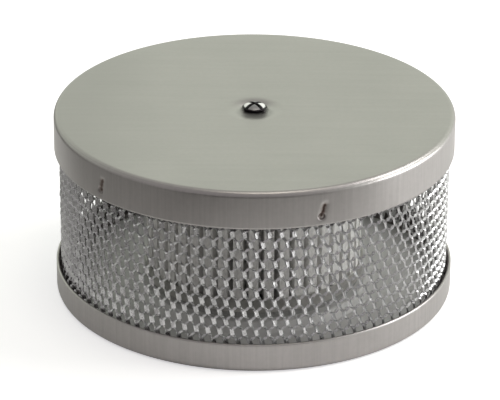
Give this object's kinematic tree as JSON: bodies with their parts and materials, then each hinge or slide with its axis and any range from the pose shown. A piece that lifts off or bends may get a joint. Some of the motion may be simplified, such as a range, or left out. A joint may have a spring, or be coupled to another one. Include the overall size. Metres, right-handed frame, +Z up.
{
  "type": "filler breather",
  "caption": "Round filler breather for a hydraulic tank: pressed lid and base with an expanded-metal wall round a pleated filter, screwed on by a threaded hub in its base.",
  "frame": {"origin": "centre of the foot plane that the base stands on", "axes": "+Z up along the can's axis; -Y is the front, between the first two tack dents of the lid"},
  "size_m": [0.1, 0.1, 0.0493],
  "materials": {
    "plated_steel": "satin",
    "screen_steel": "satin",
    "bare_steel": "satin",
    "hub_steel": "machined",
    "bright_fastener": "polished",
    "filter_paper": "impregnated",
    "potting": "matte",
    "gasket_felt": "felt",
    "gasket_rubber": "matte"
  },
  "bodies": {
    "root": {"top_cap": "plated_steel", "base_pan": "plated_steel", "outer_screen": "screen_steel", "pleated_medium": "filter_paper", "core_tube": "bare_steel", "upper_end_disc": "bare_steel", "lower_end_disc": "bare_steel", "upper_potting": "potting", "lower_potting": "potting", "upper_gasket": "gasket_felt", "lower_gasket": "gasket_felt", "threaded_hub": "hub_steel", "splash_cup": "bare_steel", "hub_seal": "gasket_rubber", "tie_screw": "bright_fastener", "captive_nut": "bright_fastener"}
  },
  "joints": []
}
